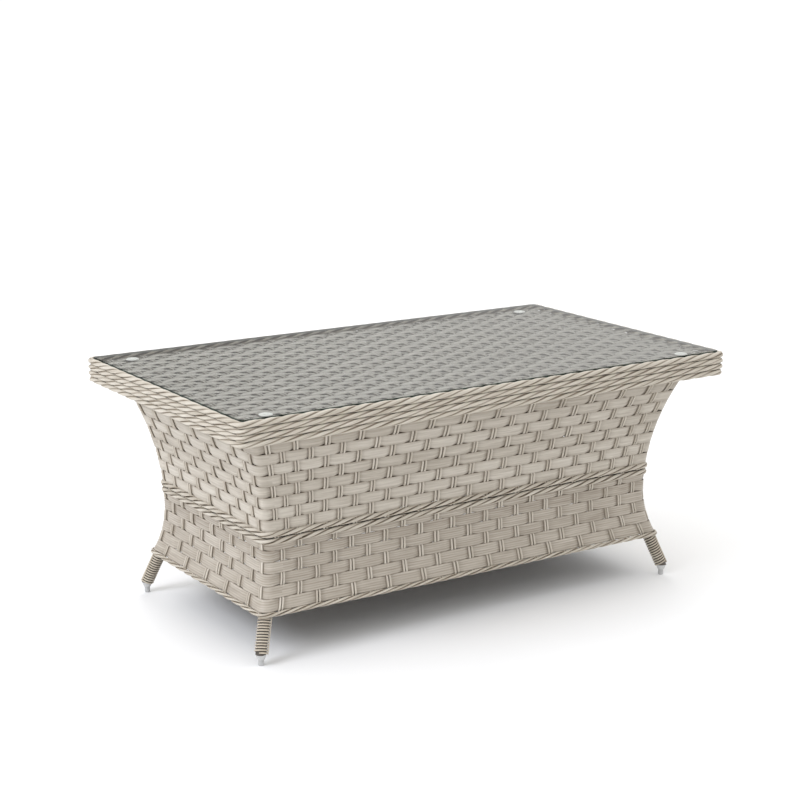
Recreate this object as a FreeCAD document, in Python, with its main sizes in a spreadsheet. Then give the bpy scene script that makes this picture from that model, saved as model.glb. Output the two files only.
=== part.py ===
import FreeCAD, Part
import math
import os
import re

import Sketcher
from FreeCAD import Placement, Rotation, Vector

# Wicker coffee table: a glass top on a woven deck with a twined rim, over a tubular aluminium frame
# that is woven in above and below its waist and stands on four splayed, strand-wrapped legs.
# Millimetres. +X runs along the table, +Z is up, and the origin is on the floor under its centre.
# An inset is always measured inwards from the outer face of the rim.

SIZES = {
    # overall
    "table_length": 1118,
    "table_width": 640,
    "table_height": 485,
    # glass top and the clear discs it rests on
    "glass_thick": 5,
    "glass_inset": 10.5,
    "glass_corner": 6,
    "glass_arris": 1,
    "disc_radius": 13,
    "disc_thick": 3,
    "disc_inset_long": 79,
    "disc_inset_short": 47,
    # woven deck
    "deck_thick": 5,
    "deck_inset": 12,
    "deck_corner": 2,
    # twined rim
    "rim_rows": 4,
    "rim_first_level": 476.5,
    "rim_row_pitch": 12,
    "rim_rope_depth": 5.5,
    "rim_rope_rise": 5.9,
    "rim_corner": 12,
    "underside_thick": 3,
    # top frame: rectangular tube round the edge, square tube across
    "edge_tube_inset": 17.5,
    "edge_tube_width": 15,
    "edge_tube_height": 34,
    "cross_bar_side": 20,
    "top_wall": 1.2,
    # flared outline of the woven body
    "waist_level": 188,
    "waist_inset": 106,
    "flare_radius": 586,
    "hem_flare_radius": 250,
    "skirt_thick": 4,
    "skirt_corner": 16,
    "upper_skirt_bottom": 242.5,
    "upper_skirt_top": 436.5,
    "lower_skirt_bottom": 95.5,
    "lower_skirt_top": 215.5,
    # twined ropes at the waist and the hem
    "upper_rope_level": 236,
    "lower_rope_level": 222,
    "hem_rope_level": 90,
    "body_rope_depth": 4.7,
    "body_rope_rise": 5.9,
    "hem_rope_rise": 4.9,
    "body_rope_inset": 1,
    # round rails between the corner posts
    "rail_radius": 8,
    "rail_wall": 1.2,
    "rail_set_back": 14.2,
    "rail_end_back": 18,
    "upper_rail_level": 426,
    "waist_rail_level": 229,
    "hem_rail_level": 98,
    # corner posts, which become the legs
    "post_radius": 10,
    "post_wall": 1.5,
    "post_upper_bend": 437,
    "post_lower_bend": 185,
    "leg_splay": 25,
    "leg_end_level": 22,
    # strand wrap on each leg
    "wrap_thick": 3,
    "wrap_clear": 0.1,
    "wrap_bottom": 24,
    "wrap_top": 84.5,
    # plug in each leg and the levelling foot screwed into it
    "plug_clear": 0.1,
    "plug_top": 40,
    "plug_bottom": 12,
    "plug_top_radius": 10.5,
    "plug_bottom_radius": 7,
    "stud_hole_top": 31,
    "stud_clear": 0.05,
    "stud_radius": 3,
    "stud_top": 29,
    "foot_radius": 5.5,
    "foot_height": 11.6,
    "foot_chamfer": 1,
}

CORNERS = {
    "front_left": (-1, -1),
    "front_right": (1, -1),
    "back_right": (1, 1),
    "back_left": (-1, 1),
}
# each side: turn about Z from the front, the half it runs along and the half it stands off
SIDES = {
    "front": (0, "table_length", "table_width"),
    "right": (90, "table_width", "table_length"),
    "back": (180, "table_length", "table_width"),
    "left": (270, "table_width", "table_length"),
}
Z_AXIS = Vector(0, 0, 1)
CORNER_POINT = (-1, 1)  # a sketch's own origin, as Sketcher names it
X_LINE = -1
EIGHTH_TURN = 45
SKIRT_LEVELS = 6

os.makedirs("parts", exist_ok=True)
doc = FreeCAD.newDocument("wicker_coffee_table")
sheet = doc.addObject("Spreadsheet::Sheet", "Sizes")
for row, (alias, value) in enumerate(SIZES.items(), start=1):
    sheet.set("A%d" % row, str(value))
    sheet.setAlias("A%d" % row, alias)
doc.recompute()

nodes = []


def size(alias):
    return float(sheet.get(alias))


def cell(text):
    """An expression in which each word that is an alias reads its cell."""
    return re.sub(r"[a-z_]+", lambda word: ("Sizes." if word[0] in SIZES else "") + word[0], text)


def bind(obj, **expressions):
    for name, text in expressions.items():
        obj.setExpression(name, cell(text))


def move(obj, x="0", y="0", z="0"):
    obj.setExpression("Placement.Base.x", cell(x))
    obj.setExpression("Placement.Base.y", cell(y))
    obj.setExpression("Placement.Base.z", cell(z))


def keep(obj, label):
    obj.Label = label
    nodes.append(obj)
    return obj


def body_inset(level):
    """Expression for the inset of the woven body's outer face at a level."""
    radius = "flare_radius" if size(level) >= size("waist_level") else "hem_flare_radius"
    return "(waist_inset - %s + sqrt(%s^2 - (%s - waist_level)^2))" % (radius, radius, level)


def body_inset_at(z):
    """The same inset as a number, at any height."""
    rise = z - size("waist_level")
    radius = size("flare_radius" if rise >= 0 else "hem_flare_radius")
    return size("waist_inset") - radius + math.sqrt(radius**2 - rise**2)


# ---------------------------------------------------------------- sketches


def sketch_on(body, role, name):
    plane = next(f for f in body.Origin.OriginFeatures if f.Role == role)
    sketch = body.newObject("Sketcher::SketchObject", name)
    sketch.AttachmentSupport = (plane, [""])
    sketch.MapMode = "FlatFace"
    return sketch


def drive(sketch, constraint, text):
    """Add a dimension to a sketch and bind it to the sheet."""
    index = sketch.addConstraint(constraint)
    sketch.setExpression("Constraints[%d]" % index, cell(text))


def add_circle(sketch, radius):
    start = 1.0
    index = sketch.addGeometry(Part.Circle(Vector(0, 0, 0), Z_AXIS, start))
    sketch.addConstraint(Sketcher.Constraint("Coincident", index, 3, *CORNER_POINT))
    drive(sketch, Sketcher.Constraint("Radius", index, start), radius)


def add_centred_rectangle(sketch, length, width):
    """A rectangle about the sketch's origin, from two driven sizes."""
    half_x, half_y = 50.0, 30.0
    points = [(-half_x, -half_y), (half_x, -half_y), (half_x, half_y), (-half_x, half_y)]
    for (ax, ay), (bx, by) in zip(points, points[1:] + points[:1]):
        sketch.addGeometry(Part.LineSegment(Vector(ax, ay, 0), Vector(bx, by, 0)))
    for edge in range(4):
        sketch.addConstraint(Sketcher.Constraint("Coincident", edge, 2, (edge + 1) % 4, 1))
    for edge in (0, 2):
        sketch.addConstraint(Sketcher.Constraint("Horizontal", edge))
        sketch.addConstraint(Sketcher.Constraint("Vertical", edge + 1))
    sketch.addConstraint(Sketcher.Constraint("Symmetric", 0, 1, 2, 1, *CORNER_POINT))
    drive(sketch, Sketcher.Constraint("DistanceX", 0, 1, 0, 2, 2 * half_x), length)
    drive(sketch, Sketcher.Constraint("DistanceY", 1, 1, 1, 2, 2 * half_y), width)


def pad(body, sketch, length):
    feature = body.newObject("PartDesign::Pad", "Pad")
    feature.Profile = sketch
    bind(feature, Length=length)
    sketch.Visibility = False
    return feature


def plate(name, length, width, thick, corner):
    """A flat plate with rounded corners, as a body with its lower face at its own z = 0."""
    body = doc.addObject("PartDesign::Body", name)
    outline = sketch_on(body, "XY_Plane", "Outline")
    add_centred_rectangle(outline, length, width)
    slab = pad(body, outline, thick)
    doc.recompute()
    uprights = [
        "Edge%d" % (n + 1)
        for n, edge in enumerate(slab.Shape.Edges)
        if abs(edge.tangentAt(edge.FirstParameter).z) > 0.9
    ]
    rounded = body.newObject("PartDesign::Fillet", "Corners")
    rounded.Base = (slab, uprights)
    bind(rounded, Radius=corner)
    doc.recompute()
    return body, rounded


# ---------------------------------------------------------------- glass, discs and deck


def glass_top():
    body, rounded = plate(
        "glass_top",
        "table_length - 2 * glass_inset",
        "table_width - 2 * glass_inset",
        "glass_thick",
        "glass_corner",
    )
    rims = [
        "Face%d" % (n + 1)
        for n, face in enumerate(rounded.Shape.Faces)
        if abs(face.normalAt(0, 0).z) > 0.9
    ]
    arris = body.newObject("PartDesign::Chamfer", "GroundEdge")
    arris.Base = (rounded, rims)
    bind(arris, Size="glass_arris")
    move(body, z="table_height - glass_thick")
    keep(body, "glass_top")


def glass_discs():
    discs = []
    for corner, (sx, sy) in CORNERS.items():
        disc = doc.addObject("Part::Cylinder", "disc_" + corner)
        bind(disc, Radius="disc_radius", Height="disc_thick")
        move(
            disc,
            "%d * (table_length / 2 - disc_inset_long)" % sx,
            "%d * (table_width / 2 - disc_inset_short)" % sy,
            "table_height - glass_thick - disc_thick",
        )
        discs.append(disc)
    group = doc.addObject("Part::Compound", "glass_discs")
    group.Links = discs
    keep(group, "glass_discs")


def woven_deck():
    body, _ = plate(
        "deck_weave",
        "table_length - 2 * deck_inset",
        "table_width - 2 * deck_inset",
        "deck_thick",
        "deck_corner",
    )
    move(body, z="table_height - glass_thick - disc_thick - deck_thick")
    keep(body, "deck_weave")


# ---------------------------------------------------------------- top frame

FRAME_TOP = "(table_height - glass_thick - disc_thick - deck_thick)"


def box_tube(name, along, length, across, height):
    """A rectangular tube centred over its own origin, its top face at z = 0, open at both ends."""
    shells = []
    for part, wall in (("outer", "0"), ("bore", "top_wall")):
        box = doc.addObject("Part::Box", name + "_" + part)
        run = "%s + 2 * (%s)" % (length, wall)
        span = "%s - 2 * (%s)" % (across, wall)
        if along == "x":
            bind(box, Length=run, Width=span)
            move(box, "-(%s) / 2" % run, "-(%s) / 2" % span, "%s - (%s)" % (wall, height))
        else:
            bind(box, Length=span, Width=run)
            move(box, "-(%s) / 2" % span, "-(%s) / 2" % run, "%s - (%s)" % (wall, height))
        bind(box, Height="%s - 2 * (%s)" % (height, wall))
        shells.append(box)
    tube = doc.addObject("Part::Cut", name)
    tube.Base, tube.Tool = shells
    return tube


def top_frame():
    long_rail = "table_length - 2 * edge_tube_inset"
    inner_span = "table_width - 2 * edge_tube_inset - 2 * edge_tube_width"
    off_side = "(table_%s / 2 - edge_tube_inset - edge_tube_width / 2)"
    for name, sign in (("front", -1), ("back", 1)):
        label = "top_rail_" + name
        tube = box_tube(label, "x", long_rail, "edge_tube_width", "edge_tube_height")
        move(tube, y="%d * %s" % (sign, off_side % "width"), z=FRAME_TOP)
        keep(tube, label)
    for name, sign in (("left", -1), ("right", 1)):
        label = "top_rail_" + name
        tube = box_tube(label, "y", inner_span, "edge_tube_width", "edge_tube_height")
        move(tube, x="%d * %s" % (sign, off_side % "length"), z=FRAME_TOP)
        keep(tube, label)
    bar_bottom = size("table_height") - size("glass_thick") - size("disc_thick")
    bar_bottom -= size("deck_thick") + size("cross_bar_side")
    over_post = size("table_length") / 2 - body_inset_at(bar_bottom) - size("skirt_corner")
    for name, place in (("left", -over_post), ("middle", 0), ("right", over_post)):
        label = "cross_bar_" + name
        tube = box_tube(label, "y", inner_span, "cross_bar_side", "cross_bar_side")
        move(tube, x="%.3f" % place, z=FRAME_TOP)
        keep(tube, label)


# ---------------------------------------------------------------- corner posts and legs


def post_path(body, name, bend, upwards):
    """One bend of a post from the waist, in the body's XZ plane; -X is outwards."""
    path = sketch_on(body, "XZ_Plane", name)
    radius = size(bend)
    circle = Part.Circle(Vector(-radius, 0, 0), Z_AXIS, radius)
    reach = size("table_height") - size("waist_level") if upwards else None
    turn = math.asin(reach / radius) if upwards else math.radians(size("leg_splay"))
    if upwards:
        path.addGeometry(Part.ArcOfCircle(circle, 0, turn))
        path.addConstraint(Sketcher.Constraint("Coincident", 0, 1, *CORNER_POINT))
        free_end = 2
    else:
        path.addGeometry(Part.ArcOfCircle(circle, -turn, 0))
        path.addConstraint(Sketcher.Constraint("Coincident", 0, 2, *CORNER_POINT))
        free_end = 1
    path.addConstraint(Sketcher.Constraint("PointOnObject", 0, 3, X_LINE))
    drive(path, Sketcher.Constraint("Radius", 0, radius), bend)
    if upwards:
        drive(
            path,
            Sketcher.Constraint("DistanceY", *CORNER_POINT, 0, free_end, reach),
            "table_height - waist_level",
        )
        return path
    drop = radius * math.sin(turn)
    start = Vector(-radius * (1 - math.cos(turn)), -drop, 0)
    fall = size("waist_level") - drop
    end = start + Vector(-fall * math.tan(turn), -fall, 0)
    path.addGeometry(Part.LineSegment(start, end))
    path.addConstraint(Sketcher.Constraint("Tangent", 0, free_end, 1, 1))
    drive(
        path,
        Sketcher.Constraint("DistanceY", 0, free_end, *CORNER_POINT, drop),
        "%s * sin(leg_splay * 1deg)" % bend,
    )
    drive(
        path,
        Sketcher.Constraint("DistanceY", 1, 2, *CORNER_POINT, size("waist_level")),
        "waist_level",
    )
    return path


def post_form(name, radius):
    """A solid round bar along a post's whole line, with its waist at the body's origin."""
    body = doc.addObject("PartDesign::Body", name)
    for part, bend, upwards in (
        ("Upper", "post_upper_bend", True),
        ("Lower", "post_lower_bend", False),
    ):
        section = sketch_on(body, "XY_Plane", part + "Section")
        add_circle(section, radius)
        path = post_path(body, part + "Path", bend, upwards)
        doc.recompute()
        pipe = body.newObject("PartDesign::AdditivePipe", part + "Bend")
        pipe.Profile = section
        pipe.Spine = (path, ["Edge%d" % (n + 1) for n in range(len(path.Geometry))])
        doc.recompute()
    return body


def corner_turn(sx, sy):
    """The turn that points a post body's -X outwards at a corner."""
    return Rotation(Z_AXIS, math.degrees(math.atan2(-sy, -sx)))


def set_at_corner(obj, sx, sy, z):
    obj.Placement = Placement(Vector(0, 0, 0), corner_turn(sx, sy))
    inset = "waist_inset + skirt_corner"
    move(
        obj,
        "%d * (table_length / 2 - (%s))" % (sx, inset),
        "%d * (table_width / 2 - (%s))" % (sy, inset),
        z,
    )


def slab(name, bottom, top):
    """A slab wider than the table, which trims what is kept between two levels."""
    box = doc.addObject("Part::Box", name)
    bind(box, Length="2 * table_length", Width="2 * table_length", Height="%s - (%s)" % (top, bottom))
    move(box, "-table_length", "-table_length", bottom)
    return box


def trimmed(name, shape, bottom, top):
    piece = doc.addObject("Part::Common", name)
    piece.Base = shape
    piece.Tool = slab(name + "_span", bottom, top)
    return piece


def foot_reach(level):
    """How far out along the diagonal a leg's axis lies from the waist, at a level of its straight run."""
    splay = math.radians(size("leg_splay"))
    bend = size("post_lower_bend")
    fall = size("waist_level") - level - bend * math.sin(splay)
    return bend * (1 - math.cos(splay)) + fall * math.tan(splay)


def foot_place(sx, sy, level):
    """The leg axis's x and y at a level on its straight run."""
    reach = foot_reach(level) / math.sqrt(2)
    inset = size("waist_inset") + size("skirt_corner") - reach
    return sx * (size("table_length") / 2 - inset), sy * (size("table_width") / 2 - inset)


def leg_bar(name, sx, sy, radius):
    """A straight bar on a leg's axis, from the floor to past the hem."""
    bar = doc.addObject("Part::Cylinder", name)
    bind(bar, Radius=radius, Height="waist_level")
    x, y = foot_place(sx, sy, 0)
    lean = Rotation(Vector(0, 1, 0), -size("leg_splay"))
    lean = Rotation(Z_AXIS, math.degrees(math.atan2(sy, sx))).multiply(lean)
    bar.Placement = Placement(Vector(x, y, 0), lean)
    return bar


def corner_post(corner, sx, sy):
    """The post of one corner: a bent tube from under the cross bars down into its leg."""
    label = "corner_post_" + corner
    outer = post_form(label + "_outer", "post_radius")
    bore = post_form(label + "_bore", "post_radius - post_wall")
    for form in (outer, bore):
        set_at_corner(form, sx, sy, "waist_level")
    tube = doc.addObject("Part::Cut", label + "_tube")
    tube.Base = outer
    tube.Tool = bore
    under_bars = FRAME_TOP + " - cross_bar_side"
    keep(trimmed(label, tube, "leg_end_level", under_bars), label)
    return outer


def leg_wrap(corner, sx, sy):
    """The close coil of strand round one leg, as a sleeve of its outer size."""
    label = "leg_wrap_" + corner
    sleeve = doc.addObject("Part::Cut", label + "_sleeve")
    sleeve.Base = leg_bar(label + "_outer", sx, sy, "post_radius + wrap_clear + wrap_thick")
    sleeve.Tool = leg_bar(label + "_inner", sx, sy, "post_radius + wrap_clear")
    keep(trimmed(label, sleeve, "wrap_bottom", "wrap_top"), label)


def foot_plug(corner, sx, sy):
    """The moulded plug pressed into a leg's end, with an upright hole for the foot's stud."""
    label = "foot_plug_" + corner
    x, y = foot_place(sx, sy, size("leg_end_level"))
    fill = leg_bar(label + "_fill", sx, sy, "post_radius - post_wall - plug_clear")
    insert = trimmed(label + "_insert", fill, "leg_end_level", "plug_top")
    cap = doc.addObject("Part::Cone", label + "_cap")
    bind(cap, Radius1="plug_bottom_radius", Radius2="plug_top_radius")
    bind(cap, Height="leg_end_level - plug_bottom")
    move(cap, "%.4f" % x, "%.4f" % y, "plug_bottom")
    whole = doc.addObject("Part::Fuse", label + "_whole")
    whole.Base, whole.Tool = cap, insert
    hole = doc.addObject("Part::Cylinder", label + "_hole")
    bind(hole, Radius="stud_radius + stud_clear", Height="stud_hole_top - plug_bottom")
    move(hole, "%.4f" % x, "%.4f" % y, "plug_bottom")
    plug = doc.addObject("Part::Cut", label)
    plug.Base, plug.Tool = whole, hole
    keep(plug, label)


def levelling_foot(corner, sx, sy):
    """A turned foot and its stud, revolved about its own upright axis."""
    label = "levelling_foot_" + corner
    body = doc.addObject("PartDesign::Body", label)
    outline = sketch_on(body, "XZ_Plane", "HalfSection")
    foot, stud, chamfer = size("foot_radius"), size("stud_radius"), size("foot_chamfer")
    top, tip = size("foot_height"), size("stud_top")
    points = [(0, 0), (foot - chamfer, 0), (foot, chamfer), (foot, top)]
    points += [(stud, top), (stud, tip), (0, tip)]
    for (ax, ay), (bx, by) in zip(points, points[1:] + points[:1]):
        outline.addGeometry(Part.LineSegment(Vector(ax, ay, 0), Vector(bx, by, 0)))
    last = len(points) - 1
    for edge in range(last):
        outline.addConstraint(Sketcher.Constraint("Coincident", edge, 2, edge + 1, 1))
    outline.addConstraint(Sketcher.Constraint("Coincident", last, 2, 0, 1))
    outline.addConstraint(Sketcher.Constraint("Coincident", 0, 1, *CORNER_POINT))
    for level in (0, 3, 5):
        outline.addConstraint(Sketcher.Constraint("Horizontal", level))
    for upright in (2, 4, 6):
        outline.addConstraint(Sketcher.Constraint("Vertical", upright))
    for way, point, value, text in (
        ("DistanceX", 0, foot - chamfer, "foot_radius - foot_chamfer"),
        ("DistanceX", 1, foot, "foot_radius"),
        ("DistanceY", 1, chamfer, "foot_chamfer"),
        ("DistanceY", 2, top, "foot_height"),
        ("DistanceX", 3, stud, "stud_radius"),
        ("DistanceY", 4, tip, "stud_top"),
    ):
        drive(outline, Sketcher.Constraint(way, *CORNER_POINT, point, 2, value), text)
    turned = body.newObject("PartDesign::Revolution", "Turned")
    turned.Profile = outline
    turned.ReferenceAxis = (outline, ["V_Axis"])
    turned.Angle = 360
    x, y = foot_place(sx, sy, size("leg_end_level"))
    move(body, "%.4f" % x, "%.4f" % y, "0")
    keep(body, label)


# ---------------------------------------------------------------- rails between the posts


def rails(posts):
    """Three rings of round tube, above, at and below the waist, each rail coped onto its two posts."""
    post_bars = doc.addObject("Part::MultiFuse", "post_bars")
    post_bars.Shapes = posts
    for ring in ("upper_rail", "waist_rail", "hem_rail"):
        level = ring + "_level"
        end_inset = "(%s + rail_end_back)" % body_inset(level)
        axis_inset = "(%s + rail_set_back)" % body_inset(level)
        for side, (turn, along, across) in SIDES.items():
            label = "%s_%s" % (ring, side)
            shells = []
            for part, radius in (("outer", "rail_radius"), ("bore", "rail_radius - rail_wall")):
                bar = doc.addObject("Part::Cylinder", "%s_%s" % (label, part))
                lay_down = Rotation(Z_AXIS, turn).multiply(Rotation(Vector(0, 1, 0), 90))
                bar.Placement = Placement(Vector(0, 0, 0), lay_down)
                bind(bar, Radius=radius, Height="%s - 2 * %s" % (along, end_inset))
                start = "-(%s / 2 - %s)" % (along, end_inset)
                off = "-(%s / 2 - %s)" % (across, axis_inset)
                cosine = round(math.cos(math.radians(turn)))
                sine = round(math.sin(math.radians(turn)))
                move(
                    bar,
                    "%d * (%s) - %d * (%s)" % (cosine, start, sine, off),
                    "%d * (%s) + %d * (%s)" % (sine, start, cosine, off),
                    level,
                )
                shells.append(bar)
            tube = doc.addObject("Part::Cut", label + "_tube")
            tube.Base, tube.Tool = shells
            rail = doc.addObject("Part::Cut", label)
            rail.Base, rail.Tool = tube, post_bars
            keep(rail, label)


# ---------------------------------------------------------------- woven work
# Each side's woven pieces are swept or lofted along one side of a rounded rectangle, from mitre to
# mitre, in a frame whose outer face looks along -Y; the piece's Placement then turns it to its side.


def side_line(half_run, half_span, inset, corner, z):
    """The edges along one side at an inset, from the middle of one rounded corner to the next."""
    x, y = half_run - inset, -(half_span - inset)
    left = Vector(-x + corner, y + corner, z)
    right = Vector(x - corner, y + corner, z)

    def round_corner(centre, turns):
        points = [
            centre + corner * Vector(math.sin(math.radians(turn)), -math.cos(math.radians(turn)), 0)
            for turn in turns
        ]
        return Part.Arc(*points).toShape()

    start = round_corner(left, (-EIGHTH_TURN, -EIGHTH_TURN / 2, 0))
    end = round_corner(right, (0, EIGHTH_TURN / 2, EIGHTH_TURN))
    drop = Vector(0, -corner, 0)
    return [start, Part.LineSegment(left + drop, right + drop).toShape(), end]


def side_band(half_run, half_span, inset, depth, corner, z):
    """The closed outline of a woven wall at one height: its outer line, and its inner line back."""
    outer = side_line(half_run, half_span, inset, corner, z)
    inner = side_line(half_run, half_span, inset + depth, corner - depth, z)
    ends = [
        Part.LineSegment(outer[-1].Vertexes[-1].Point, inner[-1].Vertexes[-1].Point).toShape(),
        Part.LineSegment(inner[0].Vertexes[0].Point, outer[0].Vertexes[0].Point).toShape(),
    ]
    return Part.Wire(Part.__sortEdges__(outer + [ends[0]] + inner[::-1] + [ends[1]]))


def side_rope(half_run, half_span, inset, corner, z, depth, rise):
    """A rope of oval section along one side; its inset is that of its centre line."""
    path = Part.Wire(side_line(half_run, half_span, inset, corner, z))
    start = path.Edges[0].Vertexes[0].Point
    ahead = Vector(1, -1, 0).normalize()
    oval = Part.Ellipse(start + Vector(0, 0, rise), start + ahead.cross(Z_AXIS) * depth, start)
    section = Part.Wire([oval.toShape()])
    return path.makePipeShell([section], True, True)


def woven(label, turn, shape):
    feature = doc.addObject("Part::Feature", label)
    feature.Shape = shape
    feature.Placement = Placement(Vector(0, 0, 0), Rotation(Z_AXIS, turn))
    keep(feature, label)


def skirt(label, turn, half_run, half_span, bottom, top):
    """A woven wall that follows the body's flare between two levels."""
    thick, corner = size("skirt_thick"), size("skirt_corner")
    bands = []
    for level in range(SKIRT_LEVELS):
        z = bottom + (top - bottom) * level / (SKIRT_LEVELS - 1)
        bands.append(side_band(half_run, half_span, body_inset_at(z), thick, corner, z))
    woven(label, turn, Part.makeLoft(bands, True, False))


def body_rope(half_run, half_span, level, rise):
    inset = body_inset_at(level) + size("body_rope_inset")
    corner = size("skirt_corner") - size("body_rope_inset")
    return side_rope(half_run, half_span, inset, corner, level, size("body_rope_depth"), rise)


def underside(half_run, half_span, top):
    """The flat strip of weave that closes the rim from below, from its lowest rope in to the body."""
    outer = side_line(half_run, half_span, size("deck_inset"), size("deck_corner"), top)
    inner = body_inset_at(top) - size("body_rope_inset")
    first, last = outer[0].Vertexes[0].Point, outer[-1].Vertexes[-1].Point
    inner_right = Vector(half_run - inner, inner - half_span, top)
    inner_left = Vector(inner - half_run, inner - half_span, top)
    closing = Part.makePolygon([last, inner_right, inner_left, first]).Edges
    face = Part.Face(Part.Wire(Part.__sortEdges__(outer + closing)))
    return face.extrude(Vector(0, 0, -size("underside_thick")))


def rim(half_run, half_span, rail_bottom):
    """One side of the rim: its rows of rope, one above another, and the strip under them."""
    depth = size("rim_rope_depth")
    corner = size("rim_corner") - depth
    pieces = [underside(half_run, half_span, rail_bottom)]
    for row in range(int(size("rim_rows"))):
        level = size("rim_first_level") - row * size("rim_row_pitch")
        rope = side_rope(half_run, half_span, depth, corner, level, depth, size("rim_rope_rise"))
        pieces.append(rope)
    return Part.makeCompound(pieces)


def woven_sides():
    rail_bottom = size("table_height") - size("glass_thick") - size("disc_thick")
    rail_bottom -= size("deck_thick") + size("edge_tube_height")
    for side, (turn, along, across) in SIDES.items():
        half_run, half_span = size(along) / 2, size(across) / 2
        woven("rim_weave_" + side, turn, rim(half_run, half_span, rail_bottom))
        for name in ("upper_skirt", "lower_skirt"):
            bottom, top = size(name + "_bottom"), size(name + "_top")
            skirt("%s_%s" % (name, side), turn, half_run, half_span, bottom, top)
        ropes = [
            body_rope(half_run, half_span, size(level), size("body_rope_rise"))
            for level in ("upper_rope_level", "lower_rope_level")
        ]
        woven("waist_rope_" + side, turn, Part.makeCompound(ropes))
        hem = body_rope(half_run, half_span, size("hem_rope_level"), size("hem_rope_rise"))
        woven("hem_rope_" + side, turn, hem)


# ---------------------------------------------------------------- assembly and export

glass_top()
glass_discs()
woven_deck()
top_frame()
post_bars = []
for corner, (sx, sy) in CORNERS.items():
    post_bars.append(corner_post(corner, sx, sy))
    leg_wrap(corner, sx, sy)
    foot_plug(corner, sx, sy)
    levelling_foot(corner, sx, sy)
rails(post_bars)
woven_sides()
doc.recompute()

for obj in doc.Objects:
    if "Invalid" in obj.State or "Error" in obj.State:
        raise RuntimeError("%s did not recompute: %s" % (obj.Label, obj.State))
for node in nodes:
    if node.Shape.isNull() or not node.Shape.isValid() or node.Shape.Volume <= 0:
        raise RuntimeError(node.Label + " has no valid solid")
    node.Shape.exportStep("parts/%s.step" % node.Label)
print(len(nodes), "nodes")
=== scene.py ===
import math

import bpy
import numpy as np
from mathutils import Matrix, Vector


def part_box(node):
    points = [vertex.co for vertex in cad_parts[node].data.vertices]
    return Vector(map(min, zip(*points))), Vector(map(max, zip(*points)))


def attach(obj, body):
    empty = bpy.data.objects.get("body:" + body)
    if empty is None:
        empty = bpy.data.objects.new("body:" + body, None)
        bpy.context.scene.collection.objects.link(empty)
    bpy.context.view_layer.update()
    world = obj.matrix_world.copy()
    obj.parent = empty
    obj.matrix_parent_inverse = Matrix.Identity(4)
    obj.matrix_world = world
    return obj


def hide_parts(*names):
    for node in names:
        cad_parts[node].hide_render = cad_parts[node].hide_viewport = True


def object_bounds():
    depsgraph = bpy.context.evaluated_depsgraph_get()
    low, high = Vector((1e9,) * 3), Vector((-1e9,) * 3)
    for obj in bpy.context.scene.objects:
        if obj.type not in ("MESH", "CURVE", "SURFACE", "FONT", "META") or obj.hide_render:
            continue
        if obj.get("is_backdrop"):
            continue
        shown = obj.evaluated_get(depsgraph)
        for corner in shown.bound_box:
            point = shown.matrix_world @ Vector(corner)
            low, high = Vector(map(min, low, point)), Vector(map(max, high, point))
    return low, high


# Wicker coffee table, in metres. Woven pieces are laid out flat, as (station along the piece, height
# or cross position, distance outwards), and then carried onto the table by a map of their own.

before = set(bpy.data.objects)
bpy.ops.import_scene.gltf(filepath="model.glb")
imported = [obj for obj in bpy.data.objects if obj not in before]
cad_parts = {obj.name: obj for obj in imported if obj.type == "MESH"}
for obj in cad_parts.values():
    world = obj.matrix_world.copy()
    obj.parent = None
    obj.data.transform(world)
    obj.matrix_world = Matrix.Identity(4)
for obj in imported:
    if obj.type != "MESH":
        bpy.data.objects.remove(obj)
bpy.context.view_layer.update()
rng = np.random.default_rng(20)

TAU = 2 * math.pi
WEAVE_UV = "weave"
# The tone map holds each strand's own random tone and, beside it, each point's painted shade.
TONE_AND_SHADE_UV = "tone"
UV_SPREAD = 40
UV_SLANT = 0.1
MIDDLE_TONE_AND_SHADE = 0.5
FEWEST_STEPS = 6

# ---------------------------------------------------------------- outline of the table

rim_low, rim_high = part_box("rim_weave_front")
HALF_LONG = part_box("rim_weave_right")[1].x
HALF_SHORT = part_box("rim_weave_back")[1].y
WAIST_LEVEL = 0.188
WAIST_INSET = 0.106
FLARE_RADIUS = 0.586
HEM_FLARE_RADIUS = 0.250
BODY_CORNER = 0.016
BODY_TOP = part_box("upper_skirt_front")[1].z
FAN_POWER = 2.4
WEAVE_DEPTH = 0.0025


def flare(z):
    """Inset of the woven body's outer face at a height, and its slope there."""
    rise = z - WAIST_LEVEL
    radius = np.where(rise >= 0, FLARE_RADIUS, HEM_FLARE_RADIUS)
    root = np.sqrt(radius**2 - rise**2)
    return WAIST_INSET - radius + root, -rise / root


class Ring:
    """A closed line round the table, whose sides may shorten with height as the body flares."""

    def __init__(self, inset, corner):
        self.corner = corner
        self.runs = [half - inset - corner for half in (HALF_LONG, HALF_SHORT)]
        arc = corner * math.pi / 2
        self.lengths = np.array([2 * self.runs[0], arc, 2 * self.runs[1], arc] * 2)
        self.starts = np.concatenate([[0], np.cumsum(self.lengths)])
        self.total = self.starts[-1]

    def place(self, station, inset, out):
        """x and y at a station, for an inset of the line and a distance outwards from it."""
        station = np.mod(station, self.total)
        piece = np.clip(np.searchsorted(self.starts, station, side="right") - 1, 0, 7)
        local = (station - self.starts[piece]) / self.lengths[piece]
        side = piece // 2
        along_half = np.where(side % 2 == 0, HALF_LONG, HALF_SHORT)
        across_half = np.where(side % 2 == 0, HALF_SHORT, HALF_LONG)
        own = np.where(side % 2 == 0, self.runs[0], self.runs[1])
        run = along_half - inset - self.corner
        share = 2 * local - 1
        along = np.sign(share) * (np.abs(share) * own - (own - run) * np.abs(share) ** FAN_POWER)
        turn = local * math.pi / 2
        on_arc = piece % 2 == 1
        reach = self.corner + out
        u = np.where(on_arc, run + reach * np.sin(turn), along)
        v = np.where(
            on_arc,
            -(across_half - inset - self.corner) - reach * np.cos(turn),
            -(across_half - inset) - out,
        )
        cosine, sine = np.cos(side * math.pi / 2), np.sin(side * math.pi / 2)
        return u * cosine - v * sine, u * sine + v * cosine


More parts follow.
